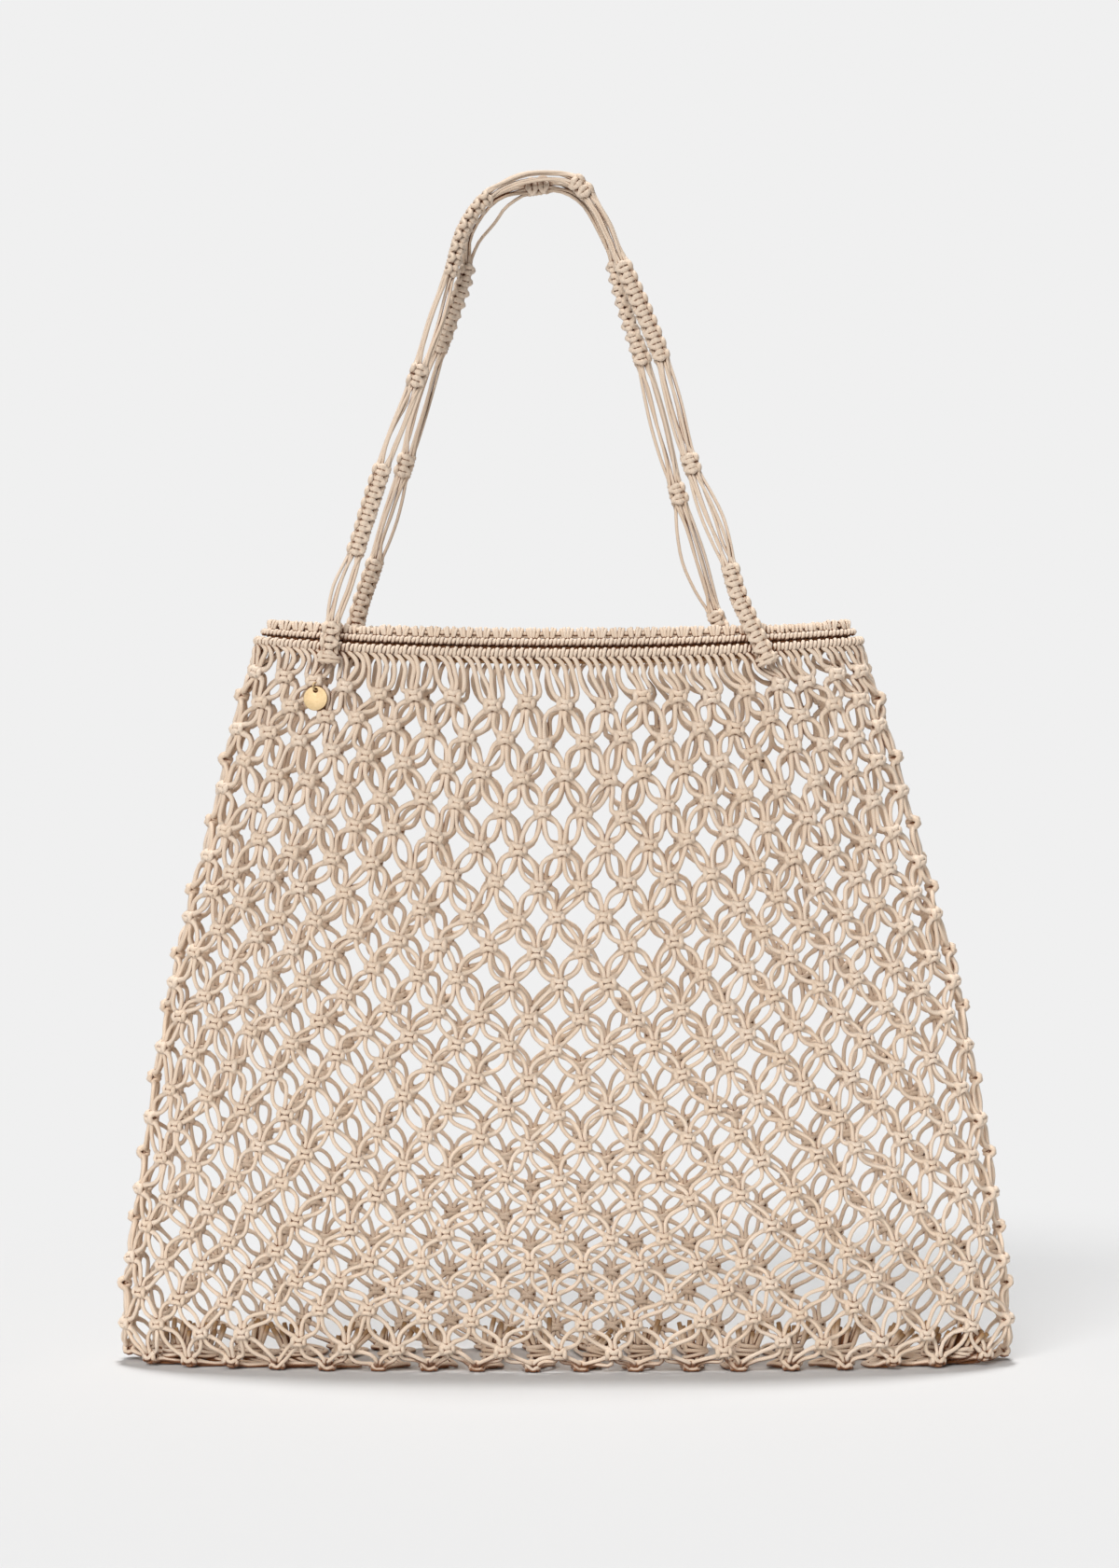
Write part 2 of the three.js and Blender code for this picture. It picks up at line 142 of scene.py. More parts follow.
class Outline:
    """Plan outline, walked by share of its length from the left fold over the front."""

    def __init__(self, half_width, half_depth, steps=1440):
        angle = math.pi + np.linspace(0, 2 * math.pi, steps + 1)
        c, s = np.cos(angle), np.sin(angle)
        power = 2 / SQUARENESS
        self.x = np.sign(c) * np.abs(c) ** power * half_width
        self.y = np.sign(s) * np.abs(s) ** power * half_depth
        step = np.hypot(np.diff(self.x), np.diff(self.y))
        self.walk = np.concatenate([[0], np.cumsum(step)])
        self.half_depth = half_depth

    def at(self, share):
        place = np.mod(share, 1.0) * self.walk[-1]
        return np.interp(place, self.walk, self.x), np.interp(place, self.walk, self.y)


# Surface of the net: share round the bag, and place along it from the base up
LEVELS = np.concatenate([UNDERSIDE[:, 0], SHAPE[:, 0]])
LEVEL_Z = np.concatenate([UNDERSIDE[:, 1], SHAPE[:, 0]])
LEVEL_WIDE = np.concatenate([UNDERSIDE[:, 2], SHAPE[:, 1] - NET_INSET])
LEVEL_DEEP = np.concatenate([UNDERSIDE[:, 3], SHAPE[:, 2] - NET_INSET])
GRID_COLUMNS = 720
EDGE_TOP = 22                   # the grid is finer below this place
GRID_V = np.concatenate([np.linspace(-60, EDGE_TOP, 60), np.linspace(EDGE_TOP + 1, 400, 90)])
STEP_ROUND = 0.004              # steps for the directions on the surface
STEP_UP = 2


def surface_grid():
    """Plan outlines of the net at the places GRID_V, as (places, columns, 2)."""
    shares = np.linspace(0, 1 - 1e-6, GRID_COLUMNS + 1)
    rings = []
    for v in GRID_V:
        ring = Outline(np.interp(v, LEVELS, LEVEL_WIDE), np.interp(v, LEVELS, LEVEL_DEEP))
        rings.append(np.stack(ring.at(shares), axis=1))
    return np.array(rings)


GRID = surface_grid()


def net_point(share, v):
    """Point of the net's middle surface at a share round the bag and a place v up along it."""
    share = np.mod(np.asarray(share, float), 1.0)
    v = np.asarray(v, float)
    row = np.clip(np.searchsorted(GRID_V, v) - 1, 0, len(GRID_V) - 2)
    rise = np.clip((v - GRID_V[row]) / (GRID_V[row + 1] - GRID_V[row]), 0, 1)[..., None]
    column = np.clip((share * GRID_COLUMNS).astype(int), 0, GRID_COLUMNS - 1)
    over = (share * GRID_COLUMNS - column)[..., None]
    low = lerp(GRID[row, column], GRID[row, column + 1], over)
    high = lerp(GRID[row + 1, column], GRID[row + 1, column + 1], over)
    flat = lerp(low, high, rise)
    z = np.interp(v, LEVELS, LEVEL_Z)
    lean = RIM_LEAN * (z / RIM_TOP) ** 2
    return np.stack([flat[..., 0] + lean, flat[..., 1], z], axis=-1)


def net_frame(share, v):
    """The point there, with the directions along the row, up the net and out of it."""
    point = net_point(share, v)
    across = unit(net_point(share + STEP_ROUND, v) - net_point(share - STEP_ROUND, v))
    rise = net_point(share, v + STEP_UP) - net_point(share, v - STEP_UP)
    out = unit(np.cross(across, rise))
    return point, across, unit(np.cross(out, across)), out


# Tubes: rows of points with a radius each, swept with a section that doesn't twist
FIRST_SIDE = np.array([0.01, 1.0, 0.02])    # near +Y, but never quite along a cord


def sweep(points, radii, sides):
    """Rings of points round each path: (paths, steps, 3) in, (paths, steps, sides, 3) out."""
    ahead = unit(np.gradient(points, axis=1))
    side = np.empty_like(points)
    start = FIRST_SIDE - ahead[:, 0] * ahead[:, 0, 1:2]
    side[:, 0] = unit(start)
    for i in range(1, points.shape[1]):
        last = side[:, i - 1]
        side[:, i] = unit(last - ahead[:, i] * np.sum(last * ahead[:, i], axis=1, keepdims=True))
    other = np.cross(ahead, side)
    turn = np.arange(sides)[:, None] / sides * 2 * math.pi
    ring = side[:, :, None] * np.cos(turn) + other[:, :, None] * np.sin(turn)
    return points[:, :, None] + ring * radii[:, :, None, None]


def tube_faces(count, steps, sides, closed_path):
    """Corner numbers of the faces between the rings of these tubes, four to a face."""
    cord = np.arange(count)[:, None, None] * steps * sides
    here = np.arange(steps if closed_path else steps - 1)[None, :, None]
    after = (here + 1) % steps
    turn = np.arange(sides)[None, None, :]
    onward = (turn + 1) % sides
    quads = np.stack([
        cord + here * sides + turn, cord + here * sides + onward,
        cord + after * sides + onward, cord + after * sides + turn,
    ], axis=-1)
    return quads.reshape(-1, 4)


class Tubes:
    """Collects tubes and makes one mesh of them."""

    def __init__(self, name):
        self.name = name
        self.verts, self.quads, self.caps = [], [], []
        self.layers = {"along": [], "around": [], "tone": [], "tip": []}
        self.total = 0

    def add(self, points, radii=CORD, sides=6, closed_path=False, tone=None, tip=0.0):
        points = np.asarray(points, float)
        if points.ndim == 2:
            points = points[None]
        count, steps, _ = points.shape
        radii = np.broadcast_to(np.asarray(radii, float), (count, steps))
        if closed_path:
            wrapped = np.concatenate([points[:, -1:], points, points[:, :1]], axis=1)
            ring = sweep(wrapped, np.pad(radii, ((0, 0), (1, 1)), mode="wrap"), sides)[:, 1:-1]
        else:
            ring = sweep(points, radii, sides)
        self.verts.append(ring.reshape(-1, 3))
        self.quads.append(tube_faces(count, steps, sides, closed_path) + self.total)
        step = np.linalg.norm(np.diff(points, axis=1), axis=2)
        walk = np.concatenate([np.zeros((count, 1)), np.cumsum(step, axis=1)], axis=1)
        tones = rng.uniform(0, 1, (count, 1)) if tone is None else tone
        for name, values in (("along", walk), ("tone", tones), ("tip", tip)):
            full = np.broadcast_to(values, (count, steps))
            self.layers[name].append(np.repeat(full.reshape(-1), sides))
        self.layers["around"].append(np.tile(np.arange(sides) / sides, count * steps))
        if not closed_path:
            self.add_caps(count, steps, sides)
        self.total += count * steps * sides

    def add_caps(self, count, steps, sides):
        for i in range(count):
            first = self.total + i * steps * sides
            last = first + (steps - 1) * sides
            self.caps.append(list(range(first + sides - 1, first - 1, -1)))
            self.caps.append(list(range(last, last + sides)))

    def build(self, material, replaces):
        quads = np.concatenate(self.quads)
        caps = [corner for cap in self.caps for corner in cap]
        corners = np.concatenate([quads.reshape(-1), np.array(caps, int)])
        sizes = [4] * len(quads) + [len(cap) for cap in self.caps]
        mesh = mesh_from(self.name, np.concatenate(self.verts), corners, sizes)
        for name, values in self.layers.items():
            layer = mesh.attributes.new(name, "FLOAT", "POINT")
            layer.data.foreach_set("value", np.concatenate(values).astype(np.float32))
        return add_piece(self.name, mesh, material, replaces)


def mesh_from(name, verts, corners, sizes):
    """Mesh of points in millimetres, with the corners of all faces in a row and their counts."""
    mesh = bpy.data.meshes.new(name)
    mesh.vertices.add(len(verts))
    mesh.vertices.foreach_set("co", (verts * MM).reshape(-1).astype(np.float32))
    mesh.loops.add(len(corners))
    mesh.loops.foreach_set("vertex_index", np.asarray(corners, np.int32))
    mesh.polygons.add(len(sizes))
    starts = np.concatenate([[0], np.cumsum(sizes)[:-1]])
    mesh.polygons.foreach_set("loop_start", starts.astype(np.int32))
    mesh.update(calc_edges=True)
    mesh.polygons.foreach_set("use_smooth", np.ones(len(sizes), bool))
    mesh.validate()
    return mesh


def add_piece(name, mesh, material, replaces):
    mesh.materials.append(material)
    piece = bpy.data.objects.new(name, mesh)
    bpy.context.scene.collection.objects.link(piece)
    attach(piece, "root")
    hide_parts(*replaces)
    return piece


# Materials
def srgb(red, green, blue):
    return tuple((c / 255 / 12.92 if c <= 10 else ((c / 255 + 0.055) / 1.055) ** 2.4)
                 for c in (red, green, blue)) + (1.0,)


class Nodes:
    """Short calls for making a node tree."""

    def __init__(self, name):
        self.material = bpy.data.materials.new(name)
        self.material.use_nodes = True
        self.tree = self.material.node_tree
        self.shader = self.tree.nodes["Principled BSDF"]

    def node(self, kind, settings=None, **inputs):
        made = self.tree.nodes.new(kind)
        for key, value in (settings or {}).items():
            setattr(made, key, value)
        for key, value in inputs.items():
            self.feed(made.inputs[key.replace("_", " ")], value)
        return made

    def feed(self, socket, value):
        if isinstance(value, bpy.types.NodeSocket):
            self.tree.links.new(value, socket)
        else:
            socket.default_value = value

    def math(self, operation, first, second=0.0):
        made = self.tree.nodes.new("ShaderNodeMath")
        made.operation = operation
        self.feed(made.inputs[0], first)
        self.feed(made.inputs[1], second)
        return made.outputs[0]

    def value(self, name):
        made = self.node("ShaderNodeAttribute", {"attribute_name": name})
        return made.outputs["Fac"]

    def mix(self, share, first, second):
        """Colour between two colours: sockets 6 and 7 are the Mix node's colours."""
        made = self.node("ShaderNodeMix", {"data_type": "RGBA"})
        self.feed(made.inputs[0], share)
        self.feed(made.inputs[6], first)
        self.feed(made.inputs[7], second)
        return made.outputs[2]

    def noise(self, scale, detail=2.0):
        place = self.node("ShaderNodeTexCoord").outputs["Object"]
        return self.node("ShaderNodeTexNoise", Vector=place, Scale=scale, Detail=detail).outputs[0]


BRAID_PITCH = 1.15              # length of one stitch of the cord's braid
BRAID_STRANDS = 3
BRAID_HEIGHT = 0.12
GROOVE_SHADE_SHARE = 0.1              # how far a groove of the braid turns to its painted shade colour
PATCH_SCALE = 60.0              # pale and deep patches along the cords, per metre
PATCH_SHARE = 0.5


def cord_material():
    n = Nodes("braided_cord")
    along = n.math("DIVIDE", n.value("along"), BRAID_PITCH)
    around = n.math("MULTIPLY", n.value("around"), BRAID_STRANDS)
    one = n.math("SINE", n.math("MULTIPLY", n.math("ADD", along, around), 2 * math.pi))
    other = n.math("SINE", n.math("MULTIPLY", n.math("SUBTRACT", along, around), 2 * math.pi))
    braid = n.math("MAXIMUM", one, other)
    light = n.mix(n.value("tone"), srgb(*CORD_PALE), srgb(*CORD_DEEP))
    patches = n.math("MULTIPLY", n.noise(PATCH_SCALE), PATCH_SHARE)
    patch = n.mix(patches, light, srgb(*CORD_DEEP))
    # Painted shade darkens the grooves of the braid
    groove = n.math("MULTIPLY", n.math("SUBTRACT", 1.0, braid), GROOVE_SHADE_SHARE)
    colour = n.mix(groove, patch, srgb(*GROOVE_SHADE_COLOUR))
    # Burnt brown of the tied cord ends; on two carrying cords of the rim the same brown is painted
    # shade
    colour = n.mix(n.value("tip"), colour, srgb(*END_AND_SHADE_BROWN))
    # Painted shade: the colour turns to a dark brown where other cords are near, by an ambient
    # occlusion measure
    open_share = n.node("ShaderNodeAmbientOcclusion", {"samples": PAINTED_SHADE_SAMPLES},
                        Distance=PAINTED_SHADE_REACH * MM)
    unshaded_share = n.node("ShaderNodeMapRange", Value=open_share.outputs["AO"],
                   From_Min=PAINTED_SHADE_RANGE[0], From_Max=PAINTED_SHADE_RANGE[1])
    colour = n.mix(unshaded_share.outputs["Result"], srgb(*PAINTED_SHADE_BROWN), colour)
    n.feed(n.shader.inputs["Base Color"], colour)
    n.shader.inputs["Roughness"].default_value = 0.62
    n.shader.inputs["Specular IOR Level"].default_value = 0.35
    n.shader.inputs["Sheen Weight"].default_value = 0.25
    n.shader.inputs["Sheen Roughness"].default_value = 0.5
    bump = n.node("ShaderNodeBump", Strength=0.35, Distance=BRAID_HEIGHT * MM, Height=braid)
    n.feed(n.shader.inputs["Normal"], bump.outputs[0])
    return n.material


def gold_material():
    n = Nodes("gold_plating")
    wear = n.noise(GOLD_WEAR_SCALE, 3.0)
    n.feed(n.shader.inputs["Base Color"], n.mix(wear, srgb(*GOLD_PALE), srgb(*GOLD_DEEP)))
    n.shader.inputs["Metallic"].default_value = 1.0
    roughness = n.math("ADD", n.math("MULTIPLY", wear, GOLD_WEAR), GOLD_ROUGHNESS)
    n.feed(n.shader.inputs["Roughness"], roughness)
    return n.material


CORD_PALE = (238, 220, 201)
CORD_DEEP = (229, 206, 182)
# Colour of the painted shade in the grooves of the braid
GROOVE_SHADE_COLOUR = (176, 138, 106)
# Burnt brown of the cord ends, also used as painted shade on two carrying cords of the rim
END_AND_SHADE_BROWN = (150, 112, 66)
# Painted shade in the crevices between cords: its brown, reach, range and samples
PAINTED_SHADE_BROWN = (132, 78, 32)
PAINTED_SHADE_REACH = 12.0            # how near other cords must be for the painted shade in a crevice
PAINTED_SHADE_RANGE = (0.36, 0.57)          # open shares between which the painted shade fades out
PAINTED_SHADE_SAMPLES = 16
GOLD_PALE = (222, 198, 160)
GOLD_DEEP = (206, 180, 136)
GOLD_WEAR_SCALE = 900.0         # fine marks on the metal, per metre
GOLD_WEAR = 0.12                # how much rougher they make it
GOLD_ROUGHNESS = 0.55
cord = cord_material()
gold = gold_material()

# Square knot: across, up and out of the net, for the cord that crosses the front and for
# the one that goes round behind. Both are drawn coming in at the left.
FRONT_CORD = np.array([
    [-4.4, 2.7, -0.8], [-2.6, 2.5, 1.0], [-0.9, 1.3, 2.9], [1.0, 1.25, 3.1], [2.5, 2.1, 1.6],
    [3.3, 0.0, 2.6],
    [2.5, -2.1, 1.6], [1.0, -1.25, 3.1], [-0.9, -1.3, 2.9], [-2.6, -2.5, 1.0], [-4.4, -2.7, -0.8],
])
REAR_CORD = np.array([
    [-4.4, 2.9, -0.6], [-3.3, 2.2, 0.6], [-2.2, 1.0, -0.6], [-1.0, 0.6, -1.8], [1.6, 1.1, -1.8],
    [2.9, 2.3, 0.6], [3.2, 0.0, 3.0], [2.9, -2.3, 0.6], [1.6, -1.1, -1.8], [-1.0, -0.6, -1.8],
    [-2.2, -1.0, -0.6], [-3.3, -2.2, 0.6], [-4.4, -2.9, -0.6],
])
WORKER_POINTS = 21
WORKER_FINE = 5                 # points for each span before they are spaced evenly
FRONT_PATH = resample(spline(FRONT_CORD, WORKER_FINE), WORKER_POINTS)
REAR_PATH = resample(spline(REAR_CORD, WORKER_FINE), WORKER_POINTS)
WORKER_WAY = (0.9, -0.42, 0.25)  # way in of a worker: across, up and out
FILLER_AWAY = 1.0               # straight cords of a knot from its middle
FILLER_REACH = 3.3              # how far they stick out of it
KNOT_ASIDE = 1.3                # how unevenly the knots lie: across, up and out
KNOT_UP = 1.2
KNOT_OUT = 0.4
KNOT_TILT = 0.1
KNOT_SIZE = (0.9, 1.06)
LEVEL_SHARE = 0.75              # how far a knot turns into line with its neighbours
FRONT_LEFT_SHARE = 0.85         # knots whose left cord crosses the front
FOLD_LENGTH = 120               # added to four half widths, it is about the length round


def warp(turn):
    """Share round the bag of a place counted in half turns, looser in the middle."""
    half = np.floor(turn)
    part = turn - half
    return (turn - LOOSE_MIDDLE * np.sin(2 * math.pi * part) / (2 * math.pi)) / 2


class Net:
    """Places, axes and sizes of all knots, rows by knots."""

    def __init__(self):
        shares, heights = [], []
        for row, (middle, climb) in enumerate(ROWS):
            turn = (np.arange(KNOTS_ROUND) + (0.5 if row % 2 == 0 else 0.0)) / (KNOTS_ROUND / 2)
            wide = np.interp(middle, LEVELS, LEVEL_WIDE)
            length = 4 * wide + FOLD_LENGTH
            drift = np.interp(row, [0, 10, 20], DRIFT) * np.sin(math.pi * turn) / length
            share = warp(turn) + drift + rng.normal(0, KNOT_ASIDE, KNOTS_ROUND) / length
            lean = RIM_LEAN * (middle / RIM_TOP) ** 2
            flat = net_point(share, np.full(KNOTS_ROUND, middle))
            out = np.clip(np.abs(flat[:, 0] - lean) / wide, 0, 1)
            uneven = rng.normal(0, KNOT_UP, KNOTS_ROUND)
            heights.append(middle + climb * out ** ROW_CURVE + uneven)
            shares.append(share)
        shares = np.array(shares)
        point, across, rise, out = net_frame(shares, np.array(heights))
        along = np.roll(point, -1, axis=1) - np.roll(point, 1, axis=1)
        along -= out * np.sum(along * out, axis=-1, keepdims=True)
        along = LEVEL_SHARE * unit(along) + (1 - LEVEL_SHARE) * across
        self.along = unit(along + rng.normal(0, KNOT_TILT, shares.shape)[..., None] * rise)
        self.out = out
        self.rise = np.cross(out, self.along)
        self.point = point + out * rng.normal(0, KNOT_OUT, shares.shape)[..., None]
        self.size = rng.uniform(*KNOT_SIZE, shares.shape)
        self.flip = rng.random(shares.shape) < FRONT_LEFT_SHARE

    def turned(self, row, knot, local):
        """Local (across, up, out) in the axes of these knots."""
        return (local[..., 0:1] * self.along[row, knot][:, None]
                + local[..., 1:2] * self.rise[row, knot][:, None]
                + local[..., 2:3] * self.out[row, knot][:, None])

    def part(self, row, knot, side, worker):
        """Path of one cord of each of these knots, with its ways in and out."""
        size = self.size[row, knot][:, None, None]
        none = np.zeros_like(side)
        if worker:
            front = self.flip[row, knot] == (side < 0)
            local = np.where(front[:, None, None], FRONT_PATH, REAR_PATH) * size
            local = local * np.stack([-side, none + 1, none + 1], axis=1)[:, None]
            wide, rise, out = WORKER_WAY
            way_in = np.stack([-wide * side, none + rise, none + out], axis=1)
            way_out = np.stack([wide * side, none + rise, none - out], axis=1)
        else:
            local = np.stack([np.stack([FILLER_AWAY * side, none + height, none], axis=1)
                              for height in (FILLER_REACH, 0.0, -FILLER_REACH)], axis=1) * size
            way_in = way_out = np.stack([none, none - 1, none], axis=1)
        path = self.point[row, knot][:, None] + self.turned(row, knot, local)
        into = self.turned(row, knot, way_in[:, None])[:, 0]
        away = self.turned(row, knot, way_out[:, None])[:, 0]
        return path, into, away


LINK_STEPS = 5
LINK_PULL = (0.85, 1.25)        # tangents of the curve between two knots over their distance
LINK_SWAY = 1.0
SWAY_WAYS = np.array([0.6, 1.0, 0.6])


def link(start, way_out, end, way_in, steps=LINK_STEPS, pull=LINK_PULL, sway=LINK_SWAY):
    """Slack cord between two places, without its ends."""
    far = np.linalg.norm(end - start, axis=1, keepdims=True)
    reach = far * rng.uniform(*pull, far.shape)
    t = (np.arange(1, steps) / steps)[None, :, None]
    curve = hermite(start[:, None], (way_out * reach)[:, None], end[:, None],
                    (way_in * reach)[:, None], t)
    aside = rng.normal(0, sway, (len(start), 1, 3)) * SWAY_WAYS
    return curve + np.sin(t * math.pi) * aside


TIES = KNOTS_ROUND // 2 + 1     # bunches of cord ends inside the base
EDGE_PLACE = -14.0              # place along the net where the cords run in under the base
EDGE_SPREAD = 3.4               # how far apart they are there
KNOT_SWELL = 1.25               # a cord in a knot over a free one
TIE_FOOT = 5.0                  # height of the foot of a bunch
TIE_LENGTH = 18.5
TIE_Y = -17.0
TIE_CORD = 1.3
TIE_REACH = 208.0               # outermost bunches from the middle
TIE_SPREAD = np.array([2.4, 0.0, 0.0])      # cords apart at the foot of a bunch
TIE_SIDES = 1.1                 # cords of the front and the back net from its middle
TIE_PLACES = np.array([0.0, 0.4, 0.72, 0.84, 1.0])
TIE_UNEVEN = 2.5                # how unevenly the bunches lie to the front and along the net
LASHINGS = ((0.5, 6.0), (2.8, 5.6), (5.0, 5.0))     # height and half width of the rings
LASHING_DEPTH = 3.4
LASHING_TILT = 0.7
LASHING_POINTS = 16
FLOOR_GAP = 1.48                # lowest middle of a cord
FIRST_PULL = (0.7, 1.0)         # pulls of the links from the rim, to the edge and to the ties
EDGE_PULL = (0.8, 1.1)
TIE_PULL = (0.4, 0.6)
TIE_STEPS = 7


class Ties:
    """Feet and leans of the bunches that the cords of the net end in, for each gathering."""

    def __init__(self):
        gathering = np.arange(KNOTS_ROUND)
        self.of = np.where(gathering > KNOTS_ROUND // 2, KNOTS_ROUND - gathering, gathering)
        edge = net_point(warp(np.arange(TIES) / (TIES - 1)), np.full(TIES, -1.0))
        self.foot = np.stack([
            np.clip(edge[:, 0], -TIE_REACH, TIE_REACH) + rng.normal(0, 2.0, TIES),
            TIE_Y + rng.normal(0, TIE_UNEVEN, TIES), np.full(TIES, TIE_FOOT)], axis=1)
        right = rng.normal(0.2, 0.4, TIES)
        back = rng.normal(-0.15, 0.25, TIES)
        self.lean = unit(np.stack([right, back, np.ones(TIES)], axis=1))
        self.dip = rng.normal(0, TIE_UNEVEN, KNOTS_ROUND)


TOP_SLANT = 5.5                 # how far a cord slants to the right as it leaves the rim
TOP_RISE = 1.2                  # how far inside the lower roll it starts
TOP_DROP = (5.0, 3.5)           # height of the slant at the folds, and how much more in the middle
TOP_STEPS = 4


def tops(number):
    """Where these cords leave the lower roll, and their first stretch down from it."""
    share = warp((number + 0.5) / CORDS * 2) - TOP_SLANT / (2 * (RIM_WIDTH + RIM_DEPTH))
    flat = net_point(share, np.full(len(number), RIM_FOOT))
    deep = np.clip(np.abs(flat[:, 1]) / (RIM_DEPTH / 2 - NET_INSET), 0, 1) ** SQUARENESS
    point, across, rise, _ = net_frame(share, RIM_FOOT + TOP_RISE - RIM_SAG * deep)
    least, more = TOP_DROP
    drop = (least + more * deep)[:, None] * rng.uniform(0.8, 1.2, (len(number), 1))
    slant = TOP_SLANT * rng.uniform(0.6, 1.1, (len(number), 1))
    bend = point + across * slant - rise * drop
    way_out = unit(1.6 * across - rise)
    way = unit(0.15 * across - rise)
    stretch = link(point, way_out, bend, way, steps=TOP_STEPS, pull=(0.9, 1.1), sway=0.0)
    return np.concatenate([point[:, None], stretch, bend[:, None]], axis=1), way


def cord_group(net, ties, starts_as_worker):
    """Cords that start as outer or as inner ones of a knot: numbers, paths, swell and ends."""
    number = np.arange(CORDS)
    inner = np.isin(number % 4, (1, 2))
    number = number[inner != starts_as_worker]
    stretch, way = tops(number)
    last = stretch[:, -1]
    spans = [stretch]
    swell = [1.0] * stretch.shape[1]
    for row in range(len(ROWS)):
        shift = 2 * (row % 2)
        knot = ((number - shift) // 4 + row % 2) % KNOTS_ROUND
        role = (number - shift) % 4
        worker = bool(role[0] in (0, 3))
        path, into, away = net.part(row, knot, np.where(role < 2, -1.0, 1.0), worker)
        pull = FIRST_PULL if row == 0 else LINK_PULL
        spans += [link(last, way, path[:, 0], into, pull=pull), path]
        swell += [1.0] * (LINK_STEPS - 1) + [KNOT_SWELL] * path.shape[1]
        last, way = path[:, -1], away
    gathering = ((number - 2) // 4 + 1) % KNOTS_ROUND
    apart = (((number - 2) % 4) - 1.5)[:, None]
    share = warp(gathering / (KNOTS_ROUND / 2))
    edge, across, rise, _ = net_frame(share, EDGE_PLACE + ties.dip[gathering])
    edge = edge + across * (apart * EDGE_SPREAD + rng.normal(0, 1.0, apart.shape))
    spans += [link(last, way, edge, -rise, pull=EDGE_PULL), edge[:, None]]
    tie = ties.of[gathering]
    foot = ties.foot[tie] + apart * TIE_SPREAD
    foot[:, 1] += np.where(gathering < KNOTS_ROUND // 2, -TIE_SIDES, TIE_SIDES)
    gathered = link(edge, -rise, foot, ties.lean[tie], steps=TIE_STEPS, pull=TIE_PULL)
    spans += [gathered, foot[:, None]]
    path = np.concatenate(spans, axis=1)
    swell += [1.0] * (path.shape[1] - len(swell))
    path[..., 2] = np.maximum(path[..., 2], FLOOR_GAP)
    end = foot + ties.lean[tie] * TIE_LENGTH * rng.uniform(0.75, 1.1, (len(number), 1))
    end += apart * TIE_SPREAD + rng.normal(0, 1.6, end.shape)
    stages = TIE_PLACES[None, :, None]
    ends = lerp(foot[:, None], end[:, None], stages)
    ends[..., :2] += np.sin(stages * math.pi) * rng.normal(0, 0.7, (len(number), 1, 2))
    return number, path, swell, ends


NET_PIECES = ("net_front_left", "net_front_right", "net_back_right", "net_back_left")
# How brown and how thick a tied end is at each of its places
TIP_SHARE = (0.0, 0.0, 0.25, 0.8, 1.0)
TIP_RADIUS = (1.0, 1.0, 1.0, 1.08, 0.95)


def add_net():
    net, ties = Net(), Ties()
    groups = [cord_group(net, ties, True), cord_group(net, ties, False)]
    for quarter, name in enumerate(NET_PIECES):
        tubes = Tubes(name)
        for number, path, swell, _ in groups:
            part = path[number // KNOTS_ROUND == quarter]
            tubes.add(part, radii=np.interp(part[..., 2], *np.transpose(NET_CORD)) * swell)
        tubes.build(cord, ["net_body"])
    tubes = Tubes("base_ties")
    for *_, ends in groups:
        tubes.add(ends, radii=TIE_CORD * np.array(TIP_RADIUS), sides=8, tone=1.0, tip=TIP_SHARE)
    turn = np.linspace(0, 2 * math.pi, LASHING_POINTS + 1)[:-1]
    for foot, lean in zip(ties.foot, ties.lean):
        for height, wide in LASHINGS:
            tilt = rng.normal(0, LASHING_TILT)
            ring = np.stack([wide * np.cos(turn), LASHING_DEPTH * np.sin(turn),
                             tilt * np.cos(turn)], axis=1)
            tubes.add(foot + lean * height + ring, radii=TIE_CORD, closed_path=True)
    tubes.build(cord, ["base_tie_row"])


# Rim: two rolls of cord wrapped round a carrying cord, and the loops that start the bag
WRAPS = 2 * CORDS
WRAP_STEPS = 10
WRAP_CORD = 1.12
WRAP_BUMP = 0.8                 # how much further every second wrap reaches
ROLL_CORE = 0.6                 # radius of the carrying cord, as a share of the wrap's
CORE_EVERY = 8                  # the carrying cord runs through every eighth point of the roll
LOWER_WRAP = 1.75               # middle of a wrap from the middle of its roll
UPPER_WRAP = 1.1
LOOPS = CORDS // 2
LOOP_CORD = 1.05
LOOP_FOOT = 2.6                 # feet of the loops below the middle of the header
LOOP_TOP = 4.2                  # their tops above the feet
LOOP_DEPTH = 1.45               # half their depth from front to back
LOOP_SINK = 0.25                # how far they start below their feet, as a share of the top
LOOP_SPREAD = (-3.2, -1.45, 1.45, 3.2)      # tops of the four strands of a loop from its middle
LOOP_RISE = (0.0, 0.6, 0.6, 0.0)            # how much higher each strand is
LOOP_TAPER = 0.6                # bottoms of the strands over their tops
PLAIN_HEADER = ((-117.5, -100.5), (110.0, 134.0))   # plain stretches beside the front handle
PLAIN_TOP = 3.3
PLAIN_SPREAD = 1.15
# Course, height, radius and brown share of the carrying cords: the one in the header, the
# one that shows between the two rolls, and the one behind the cords that leave the lower roll.
# The brown share of the last two is painted shade: they fill the gaps there with a dark cord.
CARRIERS = ((2, HEADER_HEIGHT - 0.8, 1.5, 0.0), (1.8, 389.4, 1.5, 0.6), (1.2, 382.8, 1.0, 1.0))
CARRIER_POINTS = 300


def rim_line(share, course, height):
    """Point, direction along, direction out and height scale of a course of the rim."""
    inset = NET_INSET + course * ROLL_INSET
    ring = Outline(RIM_WIDTH / 2 - inset, RIM_DEPTH / 2 - inset)

    def place(at):
        x, y = ring.at(at)
        deep = (np.abs(y) / ring.half_depth) ** SQUARENESS
        tall = 1 - RIM_PINCH * (1 - deep)
        z = RIM_FOOT + (height - RIM_FOOT) * tall
        return np.stack([x + RIM_LEAN * (z / RIM_TOP) ** 2, y, z - RIM_SAG * deep], axis=-1), tall

    point, tall = place(share)
    along = unit(place(share + STEP_ROUND / 2)[0] - place(share - STEP_ROUND / 2)[0])
    return point, along, unit(np.cross(along, UP)), tall


